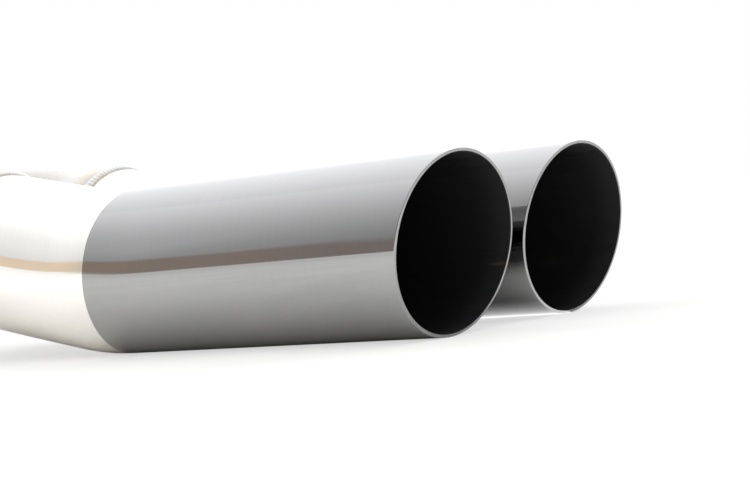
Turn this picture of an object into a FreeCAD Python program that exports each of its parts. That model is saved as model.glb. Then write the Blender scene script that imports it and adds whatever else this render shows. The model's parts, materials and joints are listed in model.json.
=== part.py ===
# Twin exhaust tip: two slash-cut outlets on bent feed pipes, a pressed two-into-one collector
# and a slip-on socket for the car's own pipe. All welded, so nothing moves.
#
# Frame: the origin is the centre of the socket's open end, +X runs along the outlets towards
# their mouths, +Y from the near outlet to the far one, +Z up. Lengths in mm, angles in degrees.

import FreeCAD, Part
import math
import os

V = FreeCAD.Vector

# Outlets: straight tubes, cut on one plane that follows the bumper
TIP_DIAMETER = 76.0
TIP_WALL = 1.5
TIP_LENGTH = 170.0
TIP_GAP = 8.0
MOUTH_RAKE = 10.5
MOUTH_SWEEP = 8.5

# Joint between outlet and feed pipe, ground flush, its top leaning towards the mouth
JOINT_LEAN = 8.7

# Feed pipes: the outlets' diameter, rising backwards
FEED_WALL = 1.0
FEED_LEAD = 6.5
FEED_BEND_RADIUS = 76.0
FEED_RISE = 12.0
FEED_RUN = 78.0

# Collector: two pressed shells that meet on a flange
COLLECTOR_WALL = 1.0
COLLAR_CLEARANCE = 0.15
COLLAR_LENGTH = 14.0
PIPE_ENTRY = 11.0
MERGE_LENGTH = 66.0
NECK_LENGTH = 7.0
FLANGE_WIDTH = 4.0

# Socket: butted to the neck, swaged out to slip over the car's pipe
CAR_PIPE_DIAMETER = 63.5
SOCKET_CLEARANCE = 0.3
SOCKET_WALL = 1.2
SOCKET_LEAD = 6.0
SWAGE_LENGTH = 6.0
SOCKET_DEPTH = 38.0

# Welds
FILLET_WELD_LEG = 2.4
BUTT_WELD_WIDTH = 5.0
BUTT_WELD_HEIGHT = 1.2

# Worked out from the sizes above
TIP_RADIUS = TIP_DIAMETER / 2
TIP_SPACING = TIP_DIAMETER + TIP_GAP
BEND_TANGENT = FEED_BEND_RADIUS * math.tan(math.radians(FEED_RISE / 2))
JOINT_X = BEND_TANGENT + FEED_LEAD
MOUTH_X = JOINT_X + TIP_LENGTH
FEED_END = BEND_TANGENT + FEED_RUN
COLLAR_START = FEED_END - PIPE_ENTRY
MERGE_START = COLLAR_START + COLLAR_LENGTH
NECK_START = MERGE_START + MERGE_LENGTH
SOCKET_START = NECK_START + NECK_LENGTH
SWAGE_START = SOCKET_START + SOCKET_LEAD
SWAGE_END = SWAGE_START + SWAGE_LENGTH
INLET_REACH = SWAGE_END + SOCKET_DEPTH
COLLAR_RADIUS = TIP_RADIUS + COLLAR_CLEARANCE
NECK_RADIUS = CAR_PIPE_DIAMETER / 2 - COLLECTOR_WALL
SOCKET_BORE = CAR_PIPE_DIAMETER / 2 + SOCKET_CLEARANCE

# Size of the boxes that cut on a plane
TOOL_SIZE = 4 * (MOUTH_X + INLET_REACH)


def trimmed(shape, point, normal):
    """The shape without what lies past the plane, on the side the normal points to."""
    tool = Part.makeBox(TOOL_SIZE, TOOL_SIZE, TOOL_SIZE, V(-TOOL_SIZE / 2, -TOOL_SIZE / 2, 0))
    turn = FreeCAD.Rotation(V(0, 0, 1), normal)
    tool.Placement = FreeCAD.Placement(point, turn)
    return shape.cut(tool)


def straight(radius, start, end, y=0.0):
    """A round bar along X from start to end."""
    return Part.makeCylinder(radius, end - start, V(start, y, 0), V(1, 0, 0))


def rear(shape):
    """Turns a shape that was drawn along X into the feed pipes' rising direction."""
    shape.rotate(V(0, 0, 0), V(0, 1, 0), FEED_RISE)
    return shape


def turned(outline):
    """A ring turned about X from corners given as (distance behind the bends, radius)."""
    wire = Part.makePolygon([V(-behind, 0, radius) for behind, radius in outline + outline[:1]])
    return Part.Face(wire).revolve(V(0, 0, 0), V(1, 0, 0), 360)


def joint_plane():
    """Point and mouthward normal of the plane that both joints lie on."""
    lean = math.radians(JOINT_LEAN)
    return V(JOINT_X, 0, 0), V(math.cos(lean), 0, -math.sin(lean))


def mouth_plane():
    """Point and outward normal of the plane that both mouths are cut on."""
    rake = math.tan(math.radians(MOUTH_RAKE))
    sweep = math.tan(math.radians(MOUTH_SWEEP))
    return V(MOUTH_X, -TIP_SPACING / 2, 0), V(1, -sweep, -rake)


def tip(y):
    """Straight outlet tube with a leaning joint and a slash-cut mouth."""
    start = JOINT_X - TIP_RADIUS
    end = 2 * MOUTH_X + TIP_SPACING
    tube = straight(TIP_RADIUS, start, end, y).cut(straight(TIP_RADIUS - TIP_WALL, start, end, y))
    point, normal = joint_plane()
    tube = trimmed(tube, point, -normal)
    point, normal = mouth_plane()
    return trimmed(tube, point, normal)


def bent_bar(radius, y):
    """Round bar along the feed pipe's centre line: a lead, one bend and the rising run."""
    half = math.radians(FEED_RISE / 2)
    back = V(-math.cos(2 * half), 0, math.sin(2 * half))
    side = V(0, y, 0)
    start = V(JOINT_X + TIP_RADIUS, 0, 0)
    bend_in = V(BEND_TANGENT, 0, 0)
    bend_mid = bend_in + V(-math.sin(half), 0, 1 - math.cos(half)) * FEED_BEND_RADIUS
    bend_out = back * BEND_TANGENT
    path = Part.Wire([
        Part.LineSegment(start + side, bend_in + side).toShape(),
        Part.Arc(bend_in + side, bend_mid + side, bend_out + side).toShape(),
        Part.LineSegment(bend_out + side, back * FEED_END + side).toShape(),
    ])
    section = Part.Wire(Part.makeCircle(radius, start + side, V(-1, 0, 0)))
    return path.makePipeShell([section], True, False)


def feed_pipe(y):
    """Bent tube from the joint into the collector's collar."""
    tube = bent_bar(TIP_RADIUS, y).cut(bent_bar(TIP_RADIUS - FEED_WALL, y))
    point, normal = joint_plane()
    return trimmed(tube, point, normal)


def merge(grow):
    """Bar whose round section shifts and shrinks with level ends from a collar to the neck.

    Along it the control circles stay at the collar, then at the neck, as in a smooth step.
    Round it each circle is four exact quarter arcs.
    """
    half = TIP_SPACING / 2
    corner = math.sqrt(0.5)
    unit_square = [(1, 0), (1, 1), (0, 1), (-1, 1), (-1, 0), (-1, -1), (0, -1), (1, -1), (1, 0)]
    poles = []
    for i, at_neck in enumerate([0, 0, 1, 1]):
        behind = MERGE_START + MERGE_LENGTH * i / 3
        radius = (NECK_RADIUS if at_neck else COLLAR_RADIUS) + grow
        centre = 0 if at_neck else -half
        poles.append([V(-behind, centre + radius * y, radius * z) for y, z in unit_square])
    weights = [[1 if k % 2 == 0 else corner for k in range(9)] for row in poles]
    skin = Part.BSplineSurface()
    skin.buildFromPolesMultsKnots(poles, [4, 4], [3, 2, 2, 2, 3], [0, 1], [0, 1, 2, 3, 4],
                                  False, False, 3, 2, weights)
    front = Part.makeCircle(COLLAR_RADIUS + grow, V(-MERGE_START, -half, 0), V(1, 0, 0))
    back = Part.makeCircle(NECK_RADIUS + grow, V(-NECK_START, 0, 0), V(1, 0, 0))
    ends = [Part.Face(Part.Wire(circle)) for circle in (front, back)]
    shell = Part.makeShell([skin.toShape()] + ends)
    shell.sewShape()
    return Part.makeSolid(shell)


def branch(grow):
    """One branch of the collector's inside, grown outwards, with collar, merge and neck."""
    collar = straight(COLLAR_RADIUS + grow, -MERGE_START, -COLLAR_START, -TIP_SPACING / 2)
    neck = straight(NECK_RADIUS + grow, -SOCKET_START, -NECK_START)
    return collar.fuse([merge(grow), neck])


def both_branches(grow):
    """The two branches, cut on the middle plane and mirrored so that they join there."""
    near = trimmed(branch(grow), V(0, 0, 0), V(0, 1, 0))
    far = near.mirror(V(0, 0, 0), V(0, 1, 0))
    return near.fuse(far)


def collector():
    """Pressed shell round both branches with a flat flange on its middle plane."""
    inside = both_branches(0)
    flange_length = NECK_START - COLLAR_START
    slab = Part.makeBox(flange_length, TOOL_SIZE, 2 * COLLECTOR_WALL,
                        V(-NECK_START, -TOOL_SIZE / 2, -COLLECTOR_WALL))
    flange = both_branches(COLLECTOR_WALL + FLANGE_WIDTH).common(slab)
    return both_branches(COLLECTOR_WALL).fuse(flange).cut(inside)


def socket():
    """Swaged tube: a lead of the neck's size, a flare and the bore for the car's pipe."""
    neck_outer = NECK_RADIUS + COLLECTOR_WALL
    neck_inner = neck_outer - SOCKET_WALL
    mouth_outer = SOCKET_BORE + SOCKET_WALL
    return turned([
        (SOCKET_START, neck_inner), (SWAGE_START, neck_inner), (SWAGE_END, SOCKET_BORE),
        (INLET_REACH, SOCKET_BORE), (INLET_REACH, mouth_outer), (SWAGE_END, mouth_outer),
        (SWAGE_START, neck_outer), (SOCKET_START, neck_outer),
    ])


def collar_weld(y):
    """Fillet bead in the corner between a feed pipe and the collar's edge."""
    leg = FILLET_WELD_LEG
    bead = turned([
        (COLLAR_START, TIP_RADIUS), (COLLAR_START - leg, TIP_RADIUS), (COLLAR_START, TIP_RADIUS + leg),
    ])
    bead.translate(V(0, y, 0))
    return bead


def inlet_weld():
    """Low bead over the butt joint between neck and socket, its crown a third of its width."""
    radius = NECK_RADIUS + COLLECTOR_WALL
    foot = BUTT_WELD_WIDTH / 2
    crown = BUTT_WELD_WIDTH / 6
    return turned([
        (SOCKET_START - foot, radius), (SOCKET_START - crown, radius + BUTT_WELD_HEIGHT),
        (SOCKET_START + crown, radius + BUTT_WELD_HEIGHT), (SOCKET_START + foot, radius),
    ])


def model():
    """All pieces by name, placed in the part's frame."""
    near_y = -TIP_SPACING / 2
    far_y = TIP_SPACING / 2
    shell = collector()
    pieces = {
        "near_tip": tip(near_y),
        "far_tip": tip(far_y),
        "near_feed_pipe": feed_pipe(near_y),
        "far_feed_pipe": feed_pipe(far_y),
        "collector_upper_shell": rear(trimmed(shell, V(0, 0, 0), V(0, 0, -1))),
        "collector_lower_shell": rear(trimmed(shell, V(0, 0, 0), V(0, 0, 1))),
        "inlet_socket": rear(socket()),
        "near_collar_weld": rear(collar_weld(near_y)),
        "far_collar_weld": rear(collar_weld(far_y)),
        "inlet_weld": rear(inlet_weld()),
    }
    rise = math.radians(FEED_RISE)
    inlet = V(-math.cos(rise), 0, math.sin(rise)) * INLET_REACH
    for shape in pieces.values():
        shape.translate(-inlet)
    return pieces


os.makedirs("parts", exist_ok=True)
for name, shape in model().items():
    solid = shape.removeSplitter()
    if len(solid.Solids) != 1 or not solid.isValid():
        raise ValueError(name + " is not one sound solid")
    solid.Solids[0].exportStep(os.path.join("parts", name + ".step"))
    print(name, round(solid.Volume, 1), solid.BoundBox)
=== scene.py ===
import json
import math

import bpy
import numpy as np
from mathutils import Matrix, Vector

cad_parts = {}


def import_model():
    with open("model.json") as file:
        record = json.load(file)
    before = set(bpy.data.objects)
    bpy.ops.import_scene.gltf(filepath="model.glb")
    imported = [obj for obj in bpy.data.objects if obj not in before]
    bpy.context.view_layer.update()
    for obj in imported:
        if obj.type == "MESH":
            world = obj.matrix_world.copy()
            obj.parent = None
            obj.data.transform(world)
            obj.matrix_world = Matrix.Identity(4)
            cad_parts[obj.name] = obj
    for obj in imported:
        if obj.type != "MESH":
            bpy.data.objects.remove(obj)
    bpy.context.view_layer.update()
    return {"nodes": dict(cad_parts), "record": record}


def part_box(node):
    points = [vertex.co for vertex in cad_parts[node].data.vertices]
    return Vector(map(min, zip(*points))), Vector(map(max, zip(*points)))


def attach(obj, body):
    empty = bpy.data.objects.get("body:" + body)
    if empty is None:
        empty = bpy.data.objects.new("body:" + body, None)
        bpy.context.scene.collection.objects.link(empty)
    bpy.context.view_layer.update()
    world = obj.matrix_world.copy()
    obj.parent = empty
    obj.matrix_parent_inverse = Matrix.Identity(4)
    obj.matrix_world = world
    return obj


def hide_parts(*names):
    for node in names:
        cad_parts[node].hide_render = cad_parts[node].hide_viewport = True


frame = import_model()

# Twin exhaust tip: dark polished outlets, bright feed pipes, a pressed collector, a swaged
# socket and its welds. Metres, in the part's own frame, with angles in degrees.

MM = 0.001

# Sizes that the frame doesn't give
TIP_WALL = 1.5 * MM
MOUTH_RAKE = 10.5
MOUTH_SWEEP = 8.5
MOUTH_EASE = 0.3 * MM
JOINT_LEAN = 8.7
FEED_WALL = 1.0 * MM
FEED_BEND_RADIUS = 76 * MM
PINCH = 2.2 * MM  # moves the wall by up to 0.385 of this
PINCH_PLACE = -9.7 * MM  # past the joint
PINCH_REACH = 20 * MM
COLLECTOR_WALL = 1.0 * MM
COLLAR_CLEARANCE = 0.15 * MM
COLLAR_LENGTH = 14 * MM
NECK_LENGTH = 7 * MM
FLANGE_WIDTH = 4 * MM
FLANGE_CORNER = 3.5 * MM
FLANGE_TAPER = 14 * MM
FLANGE_FILLETS = 0.65, 0.4  # inner and outer fillet as shares of the flange's width
RIM_EASE = 0.15 * MM
RIM_EASE_SHARE = 0.3  # of the flange's width, at most
VALLEY_FILLETS = 0.6 * MM, 3 * MM  # between the collars and at the neck
SOCKET_CLEARANCE = 0.3 * MM
SOCKET_WALL = 1.2 * MM
SOCKET_LEAD = 6 * MM
SWAGE_LENGTH = 6 * MM
SOCKET_EASE = 0.3 * MM
FILLET_WELD_LEG = 2.6 * MM
FILLET_WELD_LAP = 1.2 * MM
BUTT_WELD_WIDTH = 5.4 * MM
WELD_CROWN = 1.2 * MM
WELD_GROOVE = 0.14  # depth of the grooves as a share of the crown
WELD_SINK = 0.3 * MM  # how far a bead reaches into the metal under it
TURN_WEIGHT = 3 * MM  # of a radian of turn, in the spacing of points on a shell's outline
WORN_REACH = 1.2 * MM

# Steps round the pieces and rings along them
PIPE_STEPS = 288
TIP_SHARES = 0.02, 0.98, 0.997  # of the length: the even rings' ends and the last ring
TIP_RINGS = 49
LEAD_SHARES = 0, 0.06, 0.5
BEND_RINGS = 17
RUN_RINGS = 22
SHELL_STEPS = 200
FILLET_STEPS = 24
ARC_STEPS = 240
SHELL_RINGS = 8, 8, 67, 5  # at the flange's corner, the collars, the merge and the neck
SHORTEST_STEP = 1e-7
SOCKET_STEPS = 256
SWAGE_RINGS = 13
BORE_RINGS = 9
EASE_STEPS = 7
RIPPLE_STEPS = 10
BEAD_STEPS = 19

# Read from the frame: outlet radius and axes, floor, joint, mouth, rising line and socket bore
near_low, near_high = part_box("near_tip")
far_low, far_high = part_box("far_tip")
TIP_RADIUS = (near_high.z - near_low.z) / 2
AXIS_Z = (near_high.z + near_low.z) / 2
NEAR_Y = (near_high.y + near_low.y) / 2
FAR_Y = (far_high.y + far_low.y) / 2
FLOOR_Z = near_low.z
LEAN_SLOPE = math.tan(math.radians(JOINT_LEAN))
RAKE_SLOPE = math.tan(math.radians(MOUTH_RAKE))
SWEEP_SLOPE = math.tan(math.radians(MOUTH_SWEEP))
JOINT_X = near_low.x + TIP_RADIUS * LEAN_SLOPE
MOUTH_X = near_high.x - TIP_RADIUS * math.hypot(RAKE_SLOPE, SWEEP_SLOPE)
inlet = next(mount for mount in frame["record"]["mounts"] if mount["name"] == "inlet")
RISE = math.asin(inlet["axis"][2])
CORNER_X = -AXIS_Z / math.tan(RISE)
INLET_REACH = -AXIS_Z / math.sin(RISE)
BEND_TANGENT = FEED_BEND_RADIUS * math.tan(RISE / 2)
SOCKET_BORE = inlet["dims"]["r_mm"] * MM


def rear_span(node):
    """Lowest and highest distance behind the bends that a node reaches."""
    mesh = frame["nodes"][node].data
    places = np.empty(3 * len(mesh.vertices), np.float32)
    mesh.vertices.foreach_get("co", places)
    x, _, z = places.reshape(-1, 3).T
    behind = (CORNER_X - x) * math.cos(RISE) + (z - AXIS_Z) * math.sin(RISE)
    return behind.min(), behind.max()


def rear_place(behind, y, height):
    """Points of the part from distance behind the bends, y, and height off the rising line."""
    x = CORNER_X - behind * math.cos(RISE) + height * math.sin(RISE)
    z = AXIS_Z + behind * math.sin(RISE) + height * math.cos(RISE)
    return np.stack(np.broadcast_arrays(x, y, z), -1)


FEED_END = rear_span("near_feed_pipe")[1]
COLLAR_START, SOCKET_START = rear_span("collector_upper_shell")
MERGE_START = COLLAR_START + COLLAR_LENGTH
MERGE_END = SOCKET_START - NECK_LENGTH
COLLAR_RADIUS = TIP_RADIUS + COLLAR_CLEARANCE
NECK_RADIUS = SOCKET_BORE - SOCKET_CLEARANCE - COLLECTOR_WALL


def smooth_step(share):
    """0 below 0, 1 above 1, and 3t2 - 2t3 between."""
    t = np.clip(share, 0, 1)
    return t * t * (3 - 2 * t)


def add_mesh(name, points, quads, materials, part_of_quad, sharp, mark=None):
    """A smooth piece from points, quads, a material number for each quad and sharp point pairs.

    The faces are turned to point outwards where the enclosed volume comes out negative. mark is
    a value for each point that the materials read: worn at a rim, or sunk in a weld's ripple.
    """
    corners = points[quads]
    area = np.cross(corners[:, 2] - corners[:, 0], corners[:, 3] - corners[:, 1])
    if np.sum((corners.mean(1) - points.mean(0)) * area) < 0:
        quads = quads[:, ::-1]
    mesh = bpy.data.meshes.new(name)
    mesh.from_pydata(points.tolist(), [], quads.tolist())
    mesh.polygons.foreach_set("use_smooth", np.ones(len(quads), bool))
    for material in materials:
        mesh.materials.append(material)
    mesh.polygons.foreach_set("material_index", part_of_quad.astype(np.int32))
    ends = np.empty(2 * len(mesh.edges), np.int32)
    mesh.edges.foreach_get("vertices", ends)
    low, high = np.sort(ends.reshape(-1, 2), axis=1).astype(np.int64).T
    first, second = np.sort(sharp, axis=1).astype(np.int64).T
    is_sharp = np.isin(low * len(points) + high, first * len(points) + second)
    mesh.attributes.new("sharp_edge", "BOOLEAN", "EDGE").data.foreach_set("value", is_sharp)
    if mark is not None:
        layer = mesh.attributes.new("mark", "FLOAT", "POINT")
        layer.data.foreach_set("value", mark.astype(np.float32).ravel())
    mesh.update()
    piece = bpy.data.objects.new(name, mesh)
    bpy.context.scene.collection.objects.link(piece)
    return piece


def ring_piece(name, points, materials, parts, sharp_rows, mark=None):
    """A closed skin from points[row, step round], where rows and steps both come back round."""
    rows, steps = points.shape[:2]
    row, step = np.meshgrid(np.arange(rows), np.arange(steps), indexing="ij")
    down, along = (row + 1) % rows, (step + 1) % steps
    quads = np.stack([row * steps + step, row * steps + along, down * steps + along,
                      down * steps + step], -1).reshape(-1, 4)
    around = np.arange(steps)
    sharp = [np.stack([at * steps + around, at * steps + (around + 1) % steps], -1)
             for at in sharp_rows]
    sharp = np.concatenate(sharp) if sharp else np.zeros((0, 2), int)
    return add_mesh(name, points.reshape(-1, 3), quads, materials, np.repeat(parts, steps), sharp,
                    mark)


def around_tube(steps):
    """Angles round a tube, starting at the +Y side and going over the top."""
    return np.linspace(0, 2 * math.pi, steps, endpoint=False)


def pinched(radius, past_joint, angle):
    """Radius of a tube that the bend near the joint has drawn in below its sides and out above.

    The change is the pinch times sine times squared cosine of the angle, so top, bottom and both
    sides keep their place, and it fades like a bell curve along the tube.
    """
    fade = np.exp(-((past_joint - PINCH_PLACE) / PINCH_REACH) ** 2)
    return radius + PINCH * fade * np.sin(angle) * np.cos(angle) ** 2


def tip(name, y, materials):
    """Straight tube whose start lies on the leaning joint plane and whose end on the mouth plane.

    A row is a radius, a share of the way between the planes and an offset past the share.
    A point of it is at x = start + (end - start) * share + offset, where start and end move
    with the sine and cosine of the angle round the tube, as the planes lean. The outer ease of
    the mouth is polished, its flat face is the cut edge, and its inner ease is sooty.
    """
    angle = around_tube(PIPE_STEPS)
    inner = TIP_RADIUS - TIP_WALL
    turn = np.linspace(0, math.pi / 2, EASE_STEPS)
    share = np.concatenate([[0], np.linspace(*TIP_SHARES[:2], TIP_RINGS), TIP_SHARES[2:]])
    ease = np.stack([MOUTH_EASE * (1 - np.cos(turn)), 1 + 0 * turn,
                     MOUTH_EASE * (np.sin(turn) - 1)], -1)
    outer_wall = np.stack([TIP_RADIUS + 0 * share, share, 0 * share], -1)
    inner_wall = np.stack([inner + 0 * share, share, 0 * share], -1)[::-1]
    outer_edge = ease * [-1, 1, 1] + [TIP_RADIUS, 0, 0]
    inner_edge = (ease + [inner, 0, 0])[::-1]
    rows = np.concatenate([outer_wall, outer_edge, inner_edge, inner_wall])
    counts = [len(outer_wall) + len(outer_edge) - 1, 1, len(inner_wall) + len(inner_edge)]
    radius, share, offset = rows.T[:, :, None]
    start = JOINT_X + radius * np.sin(angle) * LEAN_SLOPE
    end = (MOUTH_X + (y - NEAR_Y) * SWEEP_SLOPE
           + radius * (np.sin(angle) * RAKE_SLOPE + np.cos(angle) * SWEEP_SLOPE))
    x = start + (end - start) * share + offset
    radius = pinched(radius, x - start, angle)
    points = np.stack([x, y + radius * np.cos(angle), AXIS_Z + radius * np.sin(angle)], -1)
    return ring_piece(name, points, materials, np.repeat([0, 1, 2], counts), [0, len(rows) - 1])


def feed_rows(radius, angle, y):
    """Rings along a feed pipe: joint plane to bend, an arc in the upright plane, then the run.

    Each ring lies across the centre line and is first a distance past the joint along it, which
    is negative. In the lead the rings lean over, from the joint plane to upright.
    """
    bend_in = CORNER_X + BEND_TANGENT
    lead_length = JOINT_X - bend_in
    bend_length = FEED_BEND_RADIUS * RISE
    run_length = FEED_END - BEND_TANGENT
    past_joint = -np.concatenate([
        lead_length * np.array(LEAD_SHARES),
        lead_length + bend_length * np.linspace(0, 1, BEND_RINGS),
        lead_length + bend_length + run_length * np.linspace(0, 1, RUN_RINGS)[1:]])[:, None]
    wall = pinched(radius, past_joint, angle)
    side = y + wall * np.cos(angle)
    lift = wall * np.sin(angle)
    turn = np.clip((-past_joint - lead_length) / FEED_BEND_RADIUS, 0, RISE)
    ahead = np.maximum(lead_length + past_joint, 0)
    beyond = np.maximum(-past_joint - lead_length - bend_length, 0)
    lean = lift * LEAN_SLOPE * ahead / lead_length
    reach = FEED_BEND_RADIUS - lift
    x = bend_in + ahead + lean - reach * np.sin(turn) - beyond * math.cos(RISE)
    z = AXIS_Z + FEED_BEND_RADIUS - reach * np.cos(turn) + beyond * math.sin(RISE)
    return np.stack([x, side, z], -1)


def feed_pipe(name, y, materials):
    """Bent tube: rings of the outer radius going back, then rings of the inner radius returning."""
    angle = around_tube(PIPE_STEPS)
    outer = feed_rows(TIP_RADIUS, angle, y)
    inner = feed_rows(TIP_RADIUS - FEED_WALL, angle, y)[::-1]
    count = len(outer)
    return ring_piece(name, np.concatenate([outer, inner]), materials, np.repeat([0, 1], count),
                      [0, count - 1, count, 2 * count - 1])


def shell_half(behind, outside):
    """One half of a shell's section, from the flange's rim to the middle: (y, height) points.

    The wall is an arc of the branch's circle, whose centre moves to the middle and whose radius
    shrinks to the neck's along the merge. One fillet takes it down to the flange. Another rolls
    against it in the valley, where the two branches cross, or down to the flange between them.
    The outline is then cut into steps that are equal in length plus weighted turn.
    """
    share = smooth_step((behind - MERGE_START) / (MERGE_END - MERGE_START))
    centre = FAR_Y * (1 - share)
    grow = COLLECTOR_WALL if outside else 0
    radius = COLLAR_RADIUS + (NECK_RADIUS - COLLAR_RADIUS) * share + grow
    corner = 1 - min(max((behind - COLLAR_START) / FLANGE_CORNER, 0), 1)
    width = (FLANGE_WIDTH * math.sqrt(1 - corner ** 2)
             * smooth_step((MERGE_END - behind) / FLANGE_TAPER))
    rim = centre + radius + width + (0 if outside else COLLECTOR_WALL)
    ease = min(RIM_EASE, RIM_EASE_SHARE * width)
    fillet = width * FLANGE_FILLETS[int(outside)]
    valley = (VALLEY_FILLETS[0] + (VALLEY_FILLETS[1] - VALLEY_FILLETS[0]) * share
              + COLLECTOR_WALL - grow)
    foot = math.sqrt((radius + fillet) ** 2 - (grow + fillet) ** 2)
    foot_turn = math.atan2(grow + fillet, foot)
    hollow_foot = math.sqrt((radius + valley) ** 2 - (grow + valley) ** 2)
    if centre > hollow_foot:
        hollow_y, hollow_z = centre - hollow_foot, grow + valley
    else:
        hollow_y, hollow_z = 0, math.sqrt((radius + valley) ** 2 - centre ** 2)
    hollow_turn = math.atan2(hollow_z, centre - hollow_y)
    turn = np.linspace(-math.pi / 2, foot_turn - math.pi, FILLET_STEPS)
    arc = np.linspace(foot_turn, math.pi - hollow_turn, ARC_STEPS)
    roll = np.linspace(-hollow_turn, -math.pi / 2, FILLET_STEPS)
    line = np.concatenate([
        [[rim - ease, grow]],
        np.stack([centre + foot + fillet * np.cos(turn),
                  grow + fillet + fillet * np.sin(turn)], -1),
        np.stack([centre + radius * np.cos(arc), radius * np.sin(arc)], -1),
        np.stack([hollow_y + valley * np.cos(roll), hollow_z + valley * np.sin(roll)], -1),
        [[0, hollow_z - valley]],
    ])
    step = np.diff(line, axis=0)
    length = np.hypot(*step.T)
    moving = np.concatenate([[True], length > SHORTEST_STEP])
    line, step = line[moving], step[moving[1:]]
    length = np.hypot(*step.T)
    heading = np.unwrap(np.arctan2(step[:, 1], step[:, 0]))
    weight = length + TURN_WEIGHT * np.abs(np.diff(heading, prepend=heading[0]))
    along = np.concatenate([[0], np.cumsum(weight)])
    edge = [[rim, ease], [rim, grow - ease]] if outside else [[rim - ease, 0]]
    at = np.linspace(0, along[-1], SHELL_STEPS - len(edge))
    body = np.stack([np.interp(at, along, line[:, 0]), np.interp(at, along, line[:, 1])], -1)
    return np.concatenate([edge, body])


def grid_quads(grid):
    """The quads between neighbouring rows and columns of a grid of point numbers."""
    return np.stack([grid[:-1, :-1], grid[:-1, 1:], grid[1:, 1:], grid[1:, :-1]], -1).reshape(-1, 4)


def collector_shell(name, side, materials):
    """Pressed half of the collector, as an outer and an inner skin joined along all borders.

    Sections stand at a row of distances behind the bends, closer together at the flange's
    rounded front corner. side is 1 for the upper shell and -1 for the lower one.
    """
    corner = 1 - np.cos(np.linspace(0, math.pi / 2, SHELL_RINGS[0]))
    limits = COLLAR_START + FLANGE_CORNER, MERGE_START, MERGE_END, SOCKET_START
    stations = np.concatenate([COLLAR_START + FLANGE_CORNER * corner] + [
        np.linspace(start, end, rings)[1:]
        for start, end, rings in zip(limits, limits[1:], SHELL_RINGS[1:])])
    skins = []
    for outside in (True, False):
        half = np.stack([shell_half(behind, outside) for behind in stations])
        whole = np.concatenate([half, half[:, -2::-1] * [-1, 1]], 1)
        skins.append(rear_place(stations[:, None], whole[..., 0], side * whole[..., 1]))
    rim_gap = np.linalg.norm(skins[0] - skins[0][:, :1], axis=-1)
    rim_gap = np.minimum(rim_gap, rim_gap[:, ::-1])
    worn = np.exp(-(rim_gap / WORN_REACH) ** 2)
    rows, steps = skins[0].shape[:2]
    outer = np.arange(rows * steps).reshape(rows, steps)
    inner = outer + rows * steps
    patches = [grid_quads(outer), grid_quads(inner)[:, ::-1],
               grid_quads(np.stack([inner[:, 0], outer[:, 0]], 1)),
               grid_quads(np.stack([outer[:, -1], inner[:, -1]], 1)),
               grid_quads(np.stack([inner[0], outer[0]])),
               grid_quads(np.stack([outer[-1], inner[-1]]))]
    part = np.repeat([0, 1, 0, 0, 0, 0], [len(quads) for quads in patches])
    borders = [grid[at] for grid in (outer, inner) for at in (0, -1)]
    sharp = np.concatenate([np.stack([line[:-1], line[1:]], -1) for line in borders])
    points = np.concatenate([skin.reshape(-1, 3) for skin in skins])
    mark = np.concatenate([worn.ravel(), 0 * worn.ravel()])
    return add_mesh(name, points, np.concatenate(patches), materials, part, sharp, mark)


def socket(name, materials):
    """Turned tube: a lead of the neck's size, an S-shaped flare, the bore and an eased mouth.

    Rows run along the outside to the mouth, round its two eased corners and back inside.
    """
    angle = around_tube(SOCKET_STEPS)
    swage_start = SOCKET_START + SOCKET_LEAD
    swage = np.linspace(0, 1, SWAGE_RINGS)
    run = np.linspace(swage_start + SWAGE_LENGTH, INLET_REACH - SOCKET_EASE, BORE_RINGS)
    behind = np.concatenate([[SOCKET_START, SOCKET_START + SOCKET_LEAD / 2],
                             swage_start + SWAGE_LENGTH * swage, run[1:]])
    flare = smooth_step((behind - swage_start) / SWAGE_LENGTH)
    neck = NECK_RADIUS + COLLECTOR_WALL
    outer = neck + (SOCKET_BORE + SOCKET_WALL - neck) * flare
    turn = np.linspace(0, math.pi / 2, EASE_STEPS)[1:]
    ease_out = SOCKET_EASE * (1 - np.cos(turn))
    ease_on = SOCKET_EASE * (np.sin(turn) - 1)
    wall = np.stack([behind, outer], -1)
    bore = np.stack([behind, outer - SOCKET_WALL], -1)[::-1]
    lip = np.stack([INLET_REACH + ease_on, SOCKET_BORE + SOCKET_WALL - ease_out], -1)
    back = np.stack([INLET_REACH + ease_on, SOCKET_BORE + ease_out], -1)[::-1]
    rows = np.concatenate([wall, lip, back, bore])
    counts = [len(wall), len(lip) + len(back), len(bore)]
    behind, radius = rows.T[:, :, None]
    points = rear_place(behind, radius * np.cos(angle), radius * np.sin(angle))
    worn = np.repeat([0, 1, 0], counts)[:, None] + 0 * angle
    return ring_piece(name, points, materials, np.repeat([0, 0, 1], counts), [0, len(rows) - 1],
                      worn)


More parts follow.
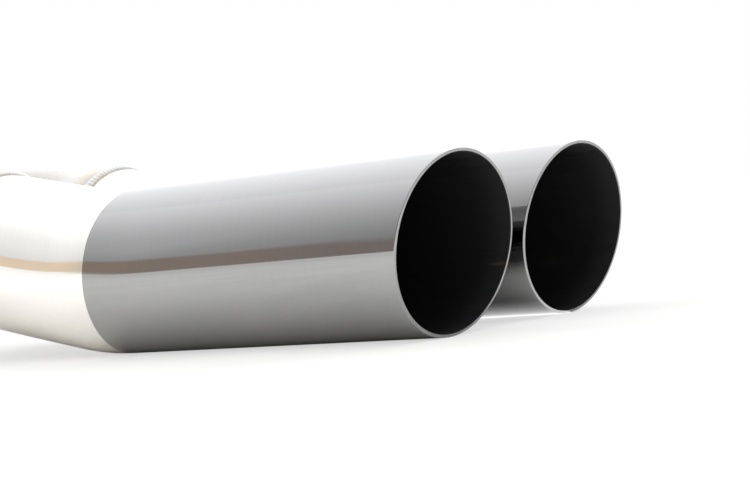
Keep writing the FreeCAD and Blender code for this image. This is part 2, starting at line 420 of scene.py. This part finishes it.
def weld_bead(name, y, front, back, ripples, materials):
    """Bead round a tube, from a front to a back toe, each given as (behind, radius).

    Its section is half an ellipse on the line between the toes. The crown is cut by grooves round
    the tube, a little unevenly spaced and each bowed along the bead, as the weld pool leaves
    them. Height and width wander by a few sines of the angle.
    """
    angle = around_tube(ripples * RIPPLE_STEPS)
    over = np.linspace(0, math.pi, BEAD_STEPS)[:, None]
    toes = np.array([front, back])
    chord = toes[1] - toes[0]
    lift = np.array([-chord[1], chord[0]]) / np.hypot(*chord)
    wander = (0.05 * np.sin(5 * angle + 2) + 0.035 * np.sin(11 * angle)
              + 0.03 * np.sin(23 * angle + 1))
    phase = (ripples * angle + 0.9 * np.sin(3 * angle) + 0.5 * np.sin(7 * angle + 1)
             - 2.4 * np.sin(over))
    groove = 1 - np.abs(np.sin(phase / 2)) ** 0.7
    crown = WELD_CROWN * np.sin(over) * (1 + wander - WELD_GROOVE * groove)
    share = (1 - np.cos(over) * (1 + 1.5 * wander)) / 2
    bead = [toes[0][i] + chord[i] * share + lift[i] * crown for i in (0, 1)]
    under = [np.repeat(toes[::-1, i:i + 1] - WELD_SINK * lift[i], len(angle), 1) for i in (0, 1)]
    behind, radius = (np.concatenate(pair) for pair in zip(bead, under))
    points = rear_place(behind, y + radius * np.cos(angle), radius * np.sin(angle))
    mark = np.concatenate([groove * np.sin(over) ** 0.5, 0 * under[0]])
    return ring_piece(name, points, materials, np.zeros(len(points), int), [], mark)


def link(tree, node, values):
    """Sets a node's inputs: a socket is linked and anything else is a plain value."""
    for key, value in values.items():
        if isinstance(value, bpy.types.NodeSocket):
            tree.links.new(value, node.inputs[key])
        else:
            node.inputs[key].default_value = value
    return node


def math_node(tree, operation, *values):
    """The result of one Math node."""
    node = tree.nodes.new("ShaderNodeMath")
    node.operation = operation
    return link(tree, node, dict(enumerate(values))).outputs[0]


def product(tree, first, *others):
    """All values multiplied, by a chain of Math nodes."""
    for value in others:
        first = math_node(tree, "MULTIPLY", first, value)
    return first


def vector_node(tree, operation, *values):
    """What comes out of one Vector Math node: a vector as 0 and a value as 1."""
    node = tree.nodes.new("ShaderNodeVectorMath")
    node.operation = operation
    return link(tree, node, dict(enumerate(values))).outputs


def own_place(tree):
    """A point's place in the piece's own coordinates, which are the part's."""
    return tree.nodes.new("ShaderNodeTexCoord").outputs["Object"]


def split(tree, vector):
    """The X, Y and Z of a vector, as sockets by name."""
    return link(tree, tree.nodes.new("ShaderNodeSeparateXYZ"), {0: vector}).outputs


def eased(tree, value, low, high, start=0.0, end=1.0):
    """start where value is at low or under, end at high or over, smooth between."""
    node = tree.nodes.new("ShaderNodeMapRange")
    node.interpolation_type = "SMOOTHSTEP"
    return link(tree, node, {"Value": value, "From Min": low, "From Max": high,
                             "To Min": start, "To Max": end}).outputs["Result"]


def blended(tree, share, first, second, mode="MIX"):
    """first where share is 0 and second where it is 1, as colours."""
    node = tree.nodes.new("ShaderNodeMix")
    node.data_type = "RGBA"
    node.blend_type = mode
    return link(tree, node, {0: share, 6: first, 7: second}).outputs[2]


def ramp(tree, value, stops):
    """The colour of a value between 0 and 1 on a line of (place, colour) stops."""
    node = tree.nodes.new("ShaderNodeValToRGB")
    band = node.color_ramp
    band.elements[0].position, band.elements[1].position = stops[0][0], stops[-1][0]
    band.elements[0].color, band.elements[1].color = (*stops[0][1], 1), (*stops[-1][1], 1)
    for place, colour in stops[1:-1]:
        band.elements.new(place).color = (*colour, 1)
    return link(tree, node, {0: value}).outputs[0]


def grain(tree, per_metre, detail=3.0):
    """Noise over the piece's own coordinates, with its features per metre along x, y and z."""
    scaled = vector_node(tree, "MULTIPLY", own_place(tree), per_metre)[0]
    noise = tree.nodes.new("ShaderNodeTexNoise")
    return link(tree, noise, {"Vector": scaled, "Scale": 1.0, "Detail": detail}).outputs[0]


def marked(tree):
    """The mesh's own mark at a point."""
    node = tree.nodes.new("ShaderNodeAttribute")
    node.attribute_name = "mark"
    return node.outputs["Fac"]


UNDERSIDE_SHADE_TOP = 0.7  # depth under the axis at which the painted underside shade ends, as a share of the radius


def underside(tree):
    """1 along the bottom line of a feed pipe, 0 from the painted shade's top upwards."""
    place = split(tree, own_place(tree))
    level = math_node(tree, "SUBTRACT", place["Z"], AXIS_Z)
    along = math_node(tree, "SUBTRACT", place["X"], CORNER_X)
    rising = math_node(tree, "ADD", product(tree, level, math.cos(RISE)),
                       product(tree, along, math.sin(RISE)))
    height = math_node(tree, "MINIMUM", level, rising)
    return eased(tree, height, -TIP_RADIUS, -UNDERSIDE_SHADE_TOP * TIP_RADIUS, 1.0, 0.0)


def weld_distance(tree, seams):
    """Distance from the nearest of some welds, given by their place behind the bends."""
    backwards = (-math.cos(RISE), 0, math.sin(RISE))
    along = vector_node(tree, "DOT_PRODUCT", own_place(tree), backwards)[1]
    shift = CORNER_X * math.cos(RISE) - AXIS_Z * math.sin(RISE)
    behind = math_node(tree, "ADD", along, shift)
    gaps = [math_node(tree, "ABSOLUTE", math_node(tree, "SUBTRACT", behind, float(seam)))
            for seam in seams]
    return gaps[0] if len(gaps) == 1 else math_node(tree, "MINIMUM", *gaps)


HEAT_REACH = 16 * MM
HEAT_RAGGED = 6 * MM  # how far the noise shifts the colours
HEAT_COLOURS = [(0.16, (0.66, 0.65, 0.64)), (0.28, (0.69, 0.69, 0.73)), (0.38, (0.75, 0.72, 0.74)),
                (0.50, (0.87, 0.80, 0.70)), (0.70, (0.95, 0.91, 0.83)), (0.95, (1, 1, 1))]


def heat_tint(tree, seams, colour):
    """What brushing leaves of a weld's oxide colours: grey, blue, rose, straw, then clean steel."""
    ragged = product(tree, grain(tree, (60, 60, 60)), HEAT_RAGGED)
    distance = math_node(tree, "ADD", weld_distance(tree, seams), ragged)
    tint = ramp(tree, math_node(tree, "DIVIDE", distance, HEAT_REACH), HEAT_COLOURS)
    return blended(tree, 1.0, (*colour, 1), tint, "MULTIPLY")


def principled(name, roughness, metallic=1.0):
    """A new material, its node tree and its main shader node."""
    material = bpy.data.materials.new(name)
    material.use_nodes = True
    shader = material.node_tree.nodes["Principled BSDF"]
    shader.inputs["Metallic"].default_value = metallic
    shader.inputs["Roughness"].default_value = roughness
    return material, material.node_tree, shader


def bumped(tree, shader, height, depth):
    """Gives the shader a normal bumped by a height of 0 to 1 that stands for a depth."""
    bump = tree.nodes.new("ShaderNodeBump")
    link(tree, bump, {"Height": height, "Distance": depth, "Strength": 1.0})
    tree.links.new(bump.outputs["Normal"], shader.inputs["Normal"])


# Painted shade: the feed pipes' colour turns darker and warmer towards their underside
UNDERSIDE_SHADE = (0.78, 0.765, 0.72, 1)
# Painted shade: the near outlet's flank that faces the far one is darkened
GAP_SHADE = 0.3
GAP_SHADE_REACH = -28 * MM, -12 * MM  # the y over which the near outlet's flank darkens into painted shade
BELT_LINE_DEPTH = 6e-7


def polished(name, colour, roughness, metallic, edge_tint=1.0, seams=None):
    """Polished tube: fine lines round it from the belt, wiped smudges and a faint unevenness.

    With welds near, it's a feed pipe, with heat tint beside them and painted shade underneath,
    darker and warmer towards the bottom.
    Without, it's an outlet, and the near one's flank in the gap is darkened with painted shade
    between the two outlets.
    """
    material, tree, shader = principled(name, roughness, metallic)
    lines = grain(tree, (1100, 9, 9), 4.0)
    smudge = grain(tree, (22, 30, 30), 3.0)
    cloud = grain(tree, (9, 14, 14), 1.0)
    if seams:
        # Painted shade: darker and warmer towards the underside
        base = blended(tree, underside(tree), heat_tint(tree, seams, colour), UNDERSIDE_SHADE,
                       "MULTIPLY")
    else:
        y = split(tree, own_place(tree))["Y"]
        # Painted shade on the near outlet's flank in the gap between the outlets
        gap_shade = math_node(tree, "MAXIMUM", eased(tree, y, *GAP_SHADE_REACH, 1.0, GAP_SHADE),
                          math_node(tree, "GREATER_THAN", y, 0.0))
        base = blended(tree, 1.0, (*colour, 1), gap_shade, "MULTIPLY")
    tone = product(tree, eased(tree, lines, 0.35, 0.65, 0.985, 1.0),
                   eased(tree, cloud, 0.3, 0.7, 0.98, 1.0))
    shade = blended(tree, 1.0, base, tone, "MULTIPLY")
    lined = eased(tree, lines, 0.3, 0.7, roughness - 0.01, roughness + 0.015)
    wiped = eased(tree, smudge, 0.52, 0.75, 0.0, 0.035)
    link(tree, shader, {"Base Color": shade, "Roughness": math_node(tree, "ADD", lined, wiped),
                        "Specular Tint": (edge_tint, edge_tint, edge_tint, 1)})
    bumped(tree, shader, lines, BELT_LINE_DEPTH)
    return material


CUT_COLOURS = (0.29, 0.29, 0.295, 1), (0.42, 0.42, 0.42, 1)
CUT_MARK_DEPTH = 1.5e-5


def cut_edge():
    """Sawn and deburred rim: short file marks across a fine grain, brighter where they stand up."""
    material, tree, shader = principled("outlet_cut_edge", 0.32)
    marks = grain(tree, (500, 2600, 2600), 4.0)
    shade = blended(tree, eased(tree, marks, 0.35, 0.65), *CUT_COLOURS)
    link(tree, shader, {"Base Color": shade, "Roughness": eased(tree, marks, 0.3, 0.7, 0.24, 0.42)})
    bumped(tree, shader, marks, CUT_MARK_DEPTH)
    return material


SOOT_COLOURS = (0.0037, 0.0038, 0.0046, 1), (0.0069, 0.0069, 0.0074, 1)
BROWN_SOOT = (0.0115, 0.0098, 0.0088, 1)
# Painted light: the soot colour turns lighter towards the mouths, where light falls in
MOUTH_GLOW = (0.0145, 0.015, 0.0168, 1)
# Painted glint: a warm reflection painted just inside the near mouth
GLINT_COLOUR = (0.047, 0.032, 0.0235, 1)
SOOT_DEPTH = 6e-5
MOUTH_GLOW_RANGE = -16 * MM, 0.0  # past the mouth's plane, from plain soot to the mouths' painted light
GLINT_TURN = math.radians(-18)
GLINT_DEPTH = 2.5 * MM
GLINT_REACH = (7.5 * MM, 8 * MM, 1.1 * MM)


def past_mouth(tree):
    """Distance along x past the common slash plane of the mouths, negative inside the outlets."""
    across = vector_node(tree, "DOT_PRODUCT", own_place(tree), (1, -SWEEP_SLOPE, -RAKE_SLOPE))[1]
    plane = MOUTH_X - NEAR_Y * SWEEP_SLOPE - AXIS_Z * RAKE_SLOPE
    return math_node(tree, "SUBTRACT", across, plane)


def painted_glint(tree):
    """1 at a painted glint just inside the near mouth, on its wall by the gap, 0 outside its reach.
    """
    radius = TIP_RADIUS - TIP_WALL
    level, out = radius * math.sin(GLINT_TURN), radius * math.cos(GLINT_TURN)
    centre = (MOUTH_X + level * RAKE_SLOPE + out * SWEEP_SLOPE - GLINT_DEPTH, NEAR_Y + out,
              AXIS_Z + level)
    offset = vector_node(tree, "SUBTRACT", own_place(tree), centre)[0]
    share = vector_node(tree, "DIVIDE", offset, GLINT_REACH)[0]
    return eased(tree, vector_node(tree, "LENGTH", share)[1], 0.2, 1.0, 1.0, 0.0)


def soot():
    """Dry soot inside the pipes: streaks along the flow, brown in places, and painted light that
    makes it lighter towards the mouths.
    """
    material, tree, shader = principled("soot_with_painted_glow", 0.6, 0.0)
    streaks = grain(tree, (7, 260, 260), 4.0)
    patches = grain(tree, (30, 45, 45), 3.0)
    shade = blended(tree, eased(tree, streaks, 0.35, 0.7), *SOOT_COLOURS)
    shade = blended(tree, eased(tree, patches, 0.55, 0.8), shade, BROWN_SOOT)
    # Painted light: lighter towards the mouths
    shade = blended(tree, eased(tree, past_mouth(tree), *MOUTH_GLOW_RANGE), shade, MOUTH_GLOW)
    # Painted glint: a warm spot of reflection just inside the near mouth
    shade = blended(tree, painted_glint(tree), shade, GLINT_COLOUR)
    link(tree, shader, {"Base Color": shade, "Specular IOR Level": 0.3,
                        "Roughness": eased(tree, streaks, 0.3, 0.7, 0.72, 0.5)})
    bumped(tree, shader, streaks, SOOT_DEPTH)
    return material


SHEET_COLOUR = (0.73, 0.72, 0.705)
WORN_COLOUR = (0.92, 0.91, 0.89, 1)
ROLLING_LINE_DEPTH = 4e-6


def satin():
    """Pressed sheet: rolling lines along the part, cloudy mill finish, heat tint, worn rims."""
    material, tree, shader = principled("collector_satin", 0.3)
    lines = grain(tree, (28, 1300, 1300), 5.0)
    cloud = grain(tree, (26, 34, 34), 4.0)
    steel = heat_tint(tree, (COLLAR_START, SOCKET_START), SHEET_COLOUR)
    tone = product(tree, eased(tree, lines, 0.3, 0.7, 0.88, 1.0),
                   eased(tree, cloud, 0.3, 0.7, 0.91, 1.0))
    shade = blended(tree, 1.0, steel, tone, "MULTIPLY")
    worn = product(tree, marked(tree), eased(tree, grain(tree, (150, 150, 150)), 0.35, 0.6))
    shade = blended(tree, worn, shade, WORN_COLOUR)
    rough = math_node(tree, "ADD", eased(tree, lines, 0.3, 0.7, 0.26, 0.36),
                      eased(tree, cloud, 0.4, 0.7, 0.0, 0.10))
    link(tree, shader, {"Base Color": shade, "Roughness": rough})
    bumped(tree, shader, lines, ROLLING_LINE_DEPTH)
    return material


CROWN_COLOURS = [(0.32, (0.68, 0.70, 0.74)), (0.46, (0.80, 0.79, 0.77)),
                 (0.60, (0.81, 0.79, 0.75)), (0.72, (0.77, 0.71, 0.61))]
GROOVE_COLOUR = (0.45, 0.44, 0.43, 1)
WELD_GRIT_DEPTH = 2e-5


def weld_metal():
    """Weld bead: grey crowns, oxide in the grooves, straw and blue patches, fine surface grain."""
    material, tree, shader = principled("weld_metal", 0.35, 0.5)
    grit = grain(tree, (900, 900, 900), 4.0)
    patch = grain(tree, (70, 70, 70), 2.0)
    crown = ramp(tree, patch, CROWN_COLOURS)
    shade = blended(tree, product(tree, marked(tree), 0.75), crown, GROOVE_COLOUR)
    rough = math_node(tree, "ADD", eased(tree, grit, 0.3, 0.7, 0.26, 0.40),
                      product(tree, marked(tree), 0.2))
    link(tree, shader, {"Base Color": shade, "Roughness": rough})
    bumped(tree, shader, grit, WELD_GRIT_DEPTH)
    return material


OUTLET_COLOUR = (0.414, 0.412, 0.414)
FEED_COLOUR = (1.0, 0.985, 0.945)
COLLAR_RIPPLES = 104
NECK_RIPPLES = 86


def build():
    """Every piece, with the node that it stands for."""
    outlet = polished("outlet_dark_polish", OUTLET_COLOUR, 0.045, 1.0, edge_tint=0.8)
    feed = polished("feed_bright_polish", FEED_COLOUR, 0.06, 0.85, seams=[COLLAR_START])
    edge, inside, steel, weld = cut_edge(), soot(), satin(), weld_metal()
    pipe_toe = COLLAR_START - FILLET_WELD_LEG, TIP_RADIUS
    collar_toe = COLLAR_START + FILLET_WELD_LAP, COLLAR_RADIUS + COLLECTOR_WALL
    neck = NECK_RADIUS + COLLECTOR_WALL
    neck_toes = [(SOCKET_START + side * BUTT_WELD_WIDTH / 2, neck) for side in (-1, 1)]
    pieces = []
    for label, y in (("near", NEAR_Y), ("far", FAR_Y)):
        pieces += [
            (tip(label + "_tip_polished", y, [outlet, edge, inside]), label + "_tip",
             "outlet_steel"),
            (feed_pipe(label + "_feed_pipe_polished", y, [feed, inside]), label + "_feed_pipe",
             "feed_steel"),
            (weld_bead(label + "_collar_weld_bead", y, pipe_toe, collar_toe, COLLAR_RIPPLES,
                       [weld]), label + "_collar_weld", "weld_metal"),
        ]
    pieces += [
        (collector_shell("collector_upper_pressing", 1, [steel, inside]), "collector_upper_shell",
         "collector_steel"),
        (collector_shell("collector_lower_pressing", -1, [steel, inside]), "collector_lower_shell",
         "collector_steel"),
        (socket("inlet_socket_turned", [steel, inside]), "inlet_socket", "collector_steel"),
        (weld_bead("inlet_weld_bead", 0, *neck_toes, NECK_RIPPLES, [weld]), "inlet_weld",
         "weld_metal"),
    ]
    for piece, node, slot in pieces:
        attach(piece, "root")
        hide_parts(node)


# Camera: its place from the near mouth's centre and its turn, found by fitting the outlines
CAMERA_OFFSET = Vector((321.86, -553.19, 16.53)) * MM
CAMERA_AZIMUTH = 33.131
CAMERA_TILT = 88.569
CAMERA_ROLL = -5.898
FOCAL_PIXELS = 1582.5
IMAGE_WIDTH = 750
SENSOR_WIDTH = 36


def camera():
    """The photograph's view: turned about Z, tilted up from straight down, then rolled."""
    data = bpy.data.cameras.new("camera")
    data.sensor_width = SENSOR_WIDTH
    data.lens = FOCAL_PIXELS / IMAGE_WIDTH * SENSOR_WIDTH
    data.clip_start = 0.01
    data.clip_end = 100
    eye = bpy.data.objects.new("camera", data)
    bpy.context.scene.collection.objects.link(eye)
    turn = (Matrix.Rotation(math.radians(CAMERA_AZIMUTH), 4, "Z")
            @ Matrix.Rotation(math.radians(CAMERA_TILT), 4, "X")
            @ Matrix.Rotation(math.radians(CAMERA_ROLL), 4, "Z"))
    eye.matrix_world = Matrix.Translation(Vector((MOUTH_X, NEAR_Y, AXIS_Z)) + CAMERA_OFFSET) @ turn
    bpy.context.scene.camera = eye


FLOOR_REACH = 20
FLOOR_EDGE_Y = -1.5
FLOOR_COLOUR = (1, 0.998, 0.98, 1)
FLOOR_SHADE = 0.84
FLOOR_SHADE_SIDE = -0.6, -0.12  # the y over which the near part's shade fades out
CAMERA_WHITE = 0.6
GLEAM_LIGHT = 1.8
GLEAM_SIDE = -23 * MM, 5 * MM  # y from the far outlet's bottom line
GLEAM_SIDE_END = 2 * MM
GLEAM_FRONT = -110 * MM, -60 * MM  # x from the near mouth's centre


def stage():
    """A wide pale floor under the outlets, a little darker towards its near edge.

    The camera sees it partly mixed with plain white, so that the shadow stays but is light. The
    polished metal sees a bright strip of it under the far outlet's front, in which that outlet's
    lower edge fades to white.
    """
    mesh = bpy.data.meshes.new("floor")
    corners = [(-FLOOR_REACH, FLOOR_EDGE_Y, FLOOR_Z), (FLOOR_REACH, FLOOR_EDGE_Y, FLOOR_Z),
               (FLOOR_REACH, FLOOR_REACH, FLOOR_Z), (-FLOOR_REACH, FLOOR_REACH, FLOOR_Z)]
    mesh.from_pydata(corners, [], [(0, 1, 2, 3)])
    material, tree, shader = principled("floor_paper", 0.9, 0.0)
    place = split(tree, own_place(tree))
    paper = product(tree, eased(tree, grain(tree, (700, 700, 700)), 0.3, 0.7, 0.95, 0.99),
                    eased(tree, place["Y"], *FLOOR_SHADE_SIDE, FLOOR_SHADE, 1.0),
                    eased(tree, grain(tree, (22, 22, 22)), 0.35, 0.65, 0.95, 1.0))
    link(tree, shader, {"Base Color": blended(tree, 1.0, FLOOR_COLOUR, paper, "MULTIPLY"),
                        "Specular IOR Level": 0.0})
    path = tree.nodes.new("ShaderNodeLightPath").outputs
    white = tree.nodes.new("ShaderNodeEmission")
    pale = link(tree, tree.nodes.new("ShaderNodeMixShader"),
                {0: product(tree, path["Is Camera Ray"], CAMERA_WHITE), 1: shader.outputs[0],
                 2: white.outputs[0]})
    gleam = product(tree, eased(tree, place["Y"], *[FAR_Y + side for side in GLEAM_SIDE]),
                    math_node(tree, "LESS_THAN", place["Y"], FAR_Y + GLEAM_SIDE_END),
                    eased(tree, place["X"], *[MOUTH_X + front for front in GLEAM_FRONT]),
                    path["Is Glossy Ray"], GLEAM_LIGHT)
    glow = link(tree, tree.nodes.new("ShaderNodeEmission"), {"Strength": gleam})
    both = link(tree, tree.nodes.new("ShaderNodeAddShader"),
                {0: pale.outputs[0], 1: glow.outputs[0]})
    tree.links.new(both.outputs[0], tree.nodes["Material Output"].inputs["Surface"])
    mesh.materials.append(material)
    floor = bpy.data.objects.new("floor", mesh)
    bpy.context.scene.collection.objects.link(floor)


# The studio: a light tent, brightest behind the left end and above, with a low dark warm band.
# Places in it are given by x, y or z of a direction, or by its slant, which is x over y.
TENT_LIGHT = 2.0
TENT_FLOOR = 0.02
TENT_DIRECTION = (-0.60, 0.655, 0.459)
TENT_SPREAD = 1.8
TENT_COLOUR = (0.983, 0.99, 1.0, 1)
FILL_LIGHT = 0.45
FILL_X = -0.2, 0.7
CORNER_SHADE = 0.7
CORNER_X_RANGE = -0.4, 0.2
CORNER_Y_RANGE = 0.0, 0.4
CORNER_Z_RANGE = 0.0, 0.5
PANEL_SHADE = 0.945
PANEL_EDGE_Y = 0.03
PANEL_REACH = 0.6
BAND_COLOUR = (0.47, 0.385, 0.33, 1)
BAND_TOP = math.sin(math.radians(10.5)), math.sin(math.radians(13.0))
BAND_Y = -0.35, -0.1
SLANT_Y_LIMIT = -0.05
BAND_END = 0.66, 0.84
BAND_END_SHADE = (0.83, 0.86, 0.92, 1)
BAND_END_FADE = math.sin(math.radians(17.5))
BAND_DIP = 0.05
BAND_DIP_SLANT = 0.65, 0.74
SIDE_SLANT = 0.89, 1.0
SIDE_BAND_COLOUR = (0.71, 0.54, 0.375, 1)
SIDE_FOOT = math.sin(math.radians(1.8))
SIDE_FOOT_COLOUR = (0.95, 0.95, 0.95, 1)
SIDE_LIGHT = 0.1
SIDE_LIGHT_Z = 0.3, 0.6
EVEN_LIGHT = (1.35, 1.35, 1.35, 1)
EVEN_SHARE = 0.6


def world():
    """White to the camera, a tent to polished metal, and the tent partly evened out to the rest.

    The tent's light is a power of how near a direction is to the tent's brightest side. A weak
    fill comes from the mouths' side, the far corner is shaded and a panel's edge shows faintly.
    The band lies low over the floor's near edge. Towards the mouths it dips, cools and fades
    upwards, and on the side that the feed pipes reflect it is brighter, over a pale foot.
    """
    made = bpy.data.worlds.new("studio")
    made.use_nodes = True
    bpy.context.scene.world = made
    tree = made.node_tree
    direction = tree.nodes.new("ShaderNodeTexCoord").outputs["Generated"]
    way = split(tree, direction)
    x, y, z = way["X"], way["Y"], way["Z"]
    towards = vector_node(tree, "DOT_PRODUCT", direction, TENT_DIRECTION)[1]
    facing = math_node(tree, "MAXIMUM", math_node(tree, "MULTIPLY_ADD", towards, 0.5, 0.5), 0.0)
    lobe = math_node(tree, "POWER", facing, TENT_SPREAD)
    light = math_node(tree, "ADD", math_node(tree, "MULTIPLY_ADD", lobe, TENT_LIGHT, TENT_FLOOR),
                      product(tree, eased(tree, x, *FILL_X), FILL_LIGHT))
    corner = product(tree, eased(tree, x, *CORNER_X_RANGE), eased(tree, y, *CORNER_Y_RANGE),
                     eased(tree, z, *CORNER_Z_RANGE, CORNER_SHADE, 0.0))
    past_edge = math_node(tree, "SUBTRACT", y, PANEL_EDGE_Y)
    panel = math_node(tree, "MAXIMUM", eased(tree, past_edge, 0.0, PANEL_REACH, PANEL_SHADE, 1.0),
                      math_node(tree, "LESS_THAN", past_edge, 0.0))
    front = eased(tree, y, *BAND_Y, 1.0, 0.0)
    slant = math_node(tree, "DIVIDE", x, math_node(tree, "MINIMUM", y, SLANT_Y_LIMIT))
    side = product(tree, eased(tree, slant, *SIDE_SLANT), front)
    side_light = product(tree, side, eased(tree, z, *SIDE_LIGHT_Z, SIDE_LIGHT, 0.0))
    light = product(tree, light, math_node(tree, "SUBTRACT", 1.0, corner), panel,
                    math_node(tree, "ADD", side_light, 1.0))
    tent = blended(tree, 1.0, light, TENT_COLOUR, "MULTIPLY")
    band = blended(tree, side, BAND_COLOUR, SIDE_BAND_COLOUR)
    band = blended(tree, eased(tree, slant, *BAND_END, 1.0, 0.0), band, BAND_END_SHADE, "MULTIPLY")
    height = math_node(tree, "ADD", z, eased(tree, slant, *BAND_DIP_SLANT, BAND_DIP, 0.0))
    fade = eased(tree, slant, *BAND_END, BAND_END_FADE, BAND_TOP[1])
    clear = math_node(tree, "MAXIMUM", eased(tree, height, BAND_TOP[0], fade),
                      math_node(tree, "SUBTRACT", 1.0, front))
    tent = blended(tree, clear, band, tent)
    foot = math_node(tree, "LESS_THAN", z, product(tree, side, SIDE_FOOT))
    tent = blended(tree, product(tree, foot, side), tent, SIDE_FOOT_COLOUR)
    path = tree.nodes.new("ShaderNodeLightPath").outputs
    seen = blended(tree, EVEN_SHARE, tent, EVEN_LIGHT)
    seen = blended(tree, path["Is Glossy Ray"], seen, tent)
    seen = blended(tree, path["Is Camera Ray"], seen, (1, 1, 1, 1))
    tree.links.new(seen, tree.nodes["Background"].inputs["Color"])


bpy.context.scene.view_settings.view_transform = "Standard"
build()
camera()
stage()
world()
